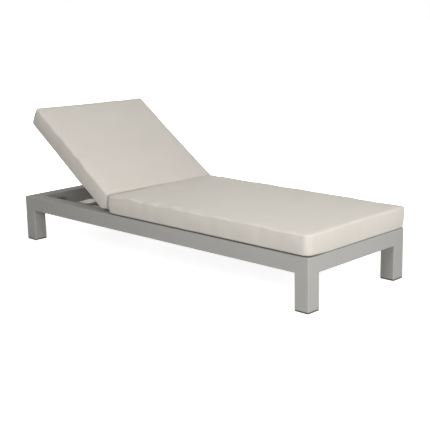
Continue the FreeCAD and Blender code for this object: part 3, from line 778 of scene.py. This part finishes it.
def tapeMesh(name, path, widths, across):
    # a flat band along a path; across gives its width's direction at each point
    points, faces, places = [], [], []
    travelled = 0.0
    count, ring = len(path), len(tapeProfile)
    for index, here in enumerate(path):
        before, after = path[max(0, index - 1)], path[min(count - 1, index + 1)]
        forward = (after - before).normalized()
        side = across[index] - forward * across[index].dot(forward)
        side.normalize()
        normal = forward.cross(side)
        travelled += (here - before).length
        half = widths[index] / 2
        for s, n in tapeProfile:
            points.append(here + side * half * s + normal * tie["thick"] * n)
            places.append((half * s, travelled, 0))
    for index in range(count - 1):
        for k in range(ring):
            after = (k + 1) % ring
            low, high = index * ring, (index + 1) * ring
            faces.append([low + k, high + k, high + after, low + after])
    last = (count - 1) * ring
    faces.append(list(range(ring)))
    faces.append([last + k for k in reversed(range(ring))])
    corners = [[places[index] for index in face] for face in faces]
    return meshFrom(name, points, faces, corners, materials["strap_webbing"])


def smoothPath(points, steps):
    # an even curve through the points
    curve = bpy.data.curves.new("guide", "CURVE")
    curve.dimensions = "3D"
    spline = curve.splines.new("NURBS")
    spline.points.add(len(points) - 1)
    for slot, point in zip(spline.points, points):
        slot.co = (*point, 1)
    spline.order_u = 3
    spline.use_endpoint_u = True
    spline.resolution_u = steps
    guide = bpy.data.objects.new("guide", curve)
    bpy.context.scene.collection.objects.link(guide)
    mesh = bpy.data.meshes.new_from_object(guide)
    path = [vertex.co.copy() for vertex in mesh.vertices]
    bpy.data.objects.remove(guide)
    bpy.data.curves.remove(curve)
    bpy.data.meshes.remove(mesh)
    return path


def onBack(along, y, above):
    x, z = raised(along, above)
    return Vector((x, y, z))


def tieWrap(sideName, sign):
    # once round the back's side tube
    inner, outer = tie["tube"]
    gap = tie["gap"]
    low, high = tie["underTube"] - gap, tie["overTube"]
    innerEnd, outerEnd = inner + tie["overlaps"][0], outer - tie["overlaps"][1]
    corners = [
        (outerEnd, high), (outer + gap, high), (outer + gap, low),
        (inner - gap, low), (inner - gap, high), (innerEnd, high),
    ]
    path = smoothPath([onBack(tie["along"], sign * y, above) for y, above in corners], tie["steps"])
    uphill = onBack(1, 0, 0) - onBack(0, 0, 0)
    wrap = tapeMesh("tieWrap" + sideName, path, [tie["wide"]] * len(path), [uphill] * len(path))
    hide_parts("pad_strap_" + sideName.lower())
    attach(wrap, "backrest")


# Two loose tape ends come out under the pad's lower edge: one stands on its edge and ends in a point,
# the other lies along the inner edge of the rail. Places are for the right side, in millimetres, and face
# is the way that the tape's width points.
looseEnds = {
    "tieEnd": {
        "points": (
            (-372, -270, 270), (-405, -282, 281), (-432, -290, 284), (-450, -291, 281), (-473, -290, 276),
            (-500, -289, 270), (-528, -287, 264), (-560, -285, 258), (-584, -284, 254), (-598, -284, 252),
        ),
        "widths": (16, 13, 12, 16, 21, 25, 24, 17, 7, 1.5),
        "face": (0.12, 0.6, 1.0),
    },
    "tieTail": {
        "points": (
            (-374, -270, 256), (-405, -276, 250), (-432, -276, 247), (-456, -276, 245.5), (-478, -277, 245),
            (-500, -277, 244.5),
        ),
        "widths": (12, 11, 8, 7, 6, 3),
        "face": (0.0, 1.0, 0.35),
    },
}


def looseEnd(name, end, sideName, sign):
    points = [Vector((x * mm, -sign * y * mm, z * mm)) for x, y, z in end["points"]]
    path = smoothPath(points, tie["steps"])
    places = np.linspace(0, len(end["widths"]) - 1, len(path))
    widths = np.interp(places, range(len(end["widths"])), end["widths"]) * mm
    face = Vector(end["face"])
    face.y *= -sign
    piece = tapeMesh(name + sideName, path, list(widths), [face] * len(path))
    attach(piece, "backrest")
    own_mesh(piece)


for sideName, sign in (("Left", 1), ("Right", -1)):
    tieWrap(sideName, sign)
    for name, end in looseEnds.items():
        looseEnd(name, end, sideName, sign)
print("ties made")


# Where a leg meets the rails the weld is ground flush, so that no groove shows between them.
weld = {
    "out": (962.5 * mm, 312.5 * mm),  # from the middle to a leg's middle, along and across
    "low": 164 * mm,
    "high": 171.4 * mm,
    "side": 75 * mm,
    "corner": 4 * mm,
    "proud": 0.06 * mm,
    "steps": 6,
}


def legWeld(name, x, y):
    corner = weld["corner"]
    half = weld["side"] / 2 + weld["proud"]
    ring = []
    for quarter, (signX, signY) in enumerate(((1, 1), (-1, 1), (-1, -1), (1, -1))):
        for step in range(weld["steps"] + 1):
            turn = math.radians(90 * (quarter + step / weld["steps"]))
            cornerX, cornerY = signX * (half - corner), signY * (half - corner)
            ring.append((x + cornerX + corner * math.cos(turn), y + cornerY + corner * math.sin(turn)))
    count = len(ring)
    points = [(px, py, height) for height in (weld["low"], weld["high"]) for px, py in ring]
    faces = [[k, (k + 1) % count, count + (k + 1) % count, count + k] for k in range(count)]
    faces += [list(range(count))[::-1], [count + k for k in range(count)]]
    places = [[points[index] for index in face] for face in faces]
    piece = meshFrom(name, points, faces, places, materials["frame_paint"])
    piece.data.polygons.foreach_set("use_smooth", [False] * len(piece.data.polygons))
    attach(piece, "root")


for endName, signX in (("Head", -1), ("Foot", 1)):
    for sideName, signY in (("Left", 1), ("Right", -1)):
        legWeld("legWeld" + endName + sideName, signX * weld["out"][0], signY * weld["out"][1])
print("welds made")


# Floor, lamps and sky. The lamps' places, aims and sizes are in metres, their power in watts.
light = {
    "sky": 0.21,
    "lamps": (
        {"name": "top", "place": (1.2, -0.5, 3.1), "aim": (0.5, 0.0, 0.3), "size": 2.8, "power": 40},
        {"name": "near", "place": (1.2, -3.2, 2.2), "aim": (0.5, -0.2, 0.25), "size": 1.6, "power": 47},
        {"name": "foot", "place": (3.4, -0.4, 0.9), "aim": (0.9, 0.0, 0.3), "size": 1.6, "power": 34},
        {"name": "corner", "place": (4.2, -2.6, 1.0), "aim": (0.2, -0.2, 0.25), "size": 1.2, "power": 40},
        {"name": "behind", "place": (-1.7, 1.7, 2.4), "aim": (-0.7, 0.0, 0.2), "size": 1.6, "power": 8},
        {"name": "rear", "place": (-3.2, 2.6, 0.8), "aim": (-0.3, 0.2, 0.3), "size": 1.4, "power": 50,
         "shines": False},  # its own reflection would put a glare on the rail's top
    ),
    "floorHalf": 30.0,
    "floorColour": 0.55,
    "floorLift": 0.85,  # a glow for the camera and reflections only, so the floor is white and keeps its shadow
    "whiteFrom": 2.2,  # further out than this the floor is plain white
}


def softLamp(lamp):
    data = bpy.data.lights.new(lamp["name"], "AREA")
    data.shape = "DISK"
    data.size = lamp["size"]
    data.energy = lamp["power"]
    holder = bpy.data.objects.new(lamp["name"], data)
    bpy.context.scene.collection.objects.link(holder)
    holder.location = lamp["place"]
    holder.visible_glossy = lamp.get("shines", True)
    aim = Vector(lamp["aim"]) - Vector(lamp["place"])
    holder.rotation_euler = aim.to_track_quat("-Z", "Y").to_euler()


def whiteFloor():
    half = light["floorHalf"]
    corners = [(-half, -half, 0), (half, -half, 0), (half, half, 0), (-half, half, 0)]
    mesh = bpy.data.meshes.new("floor")
    mesh.from_pydata(corners, [], [(0, 1, 2, 3)])
    floor = bpy.data.objects.new("floor", mesh)
    bpy.context.scene.collection.objects.link(floor)
    grey = light["floorColour"]
    pale = Paint("floor", Base_Color=(grey, grey, grey, 1), Roughness=0.9, Specular_IOR_Level=0.1)
    out = pale.add("ShaderNodeVectorMath", {"operation": "LENGTH"}, {0: pale.place()}, "Value")
    far = pale.share(out, light["whiteFrom"] - 1, light["whiteFrom"])
    lift = pale.seesWhite() * (light["floorLift"] + far)
    glow = pale.add("ShaderNodeEmission", {}, {"Color": (1, 1, 1, 1), "Strength": lift})
    both = pale.add("ShaderNodeAddShader", {}, {0: Wire(pale, pale.surface.outputs[0]), 1: glow})
    pale.tree.links.new(both.socket, pale.output.inputs[0])
    mesh.materials.append(pale.material)


def whiteSky():
    world = bpy.data.worlds.new("sky")
    world.use_nodes = True
    bpy.context.scene.world = world
    sky = Nodes(world.node_tree)
    strength = sky.between(sky.seesWhite(), light["sky"], 1.0)
    glow = sky.add("ShaderNodeBackground", {}, {"Color": (1, 1, 1, 1), "Strength": strength})
    output = sky.tree.nodes.new("ShaderNodeOutputWorld")
    sky.tree.links.new(glow.socket, output.inputs[0])


for lamp in light["lamps"]:
    softLamp(lamp)
whiteFloor()
whiteSky()
bpy.context.scene.view_settings.view_transform = "Standard"
print("floor and lamps set")
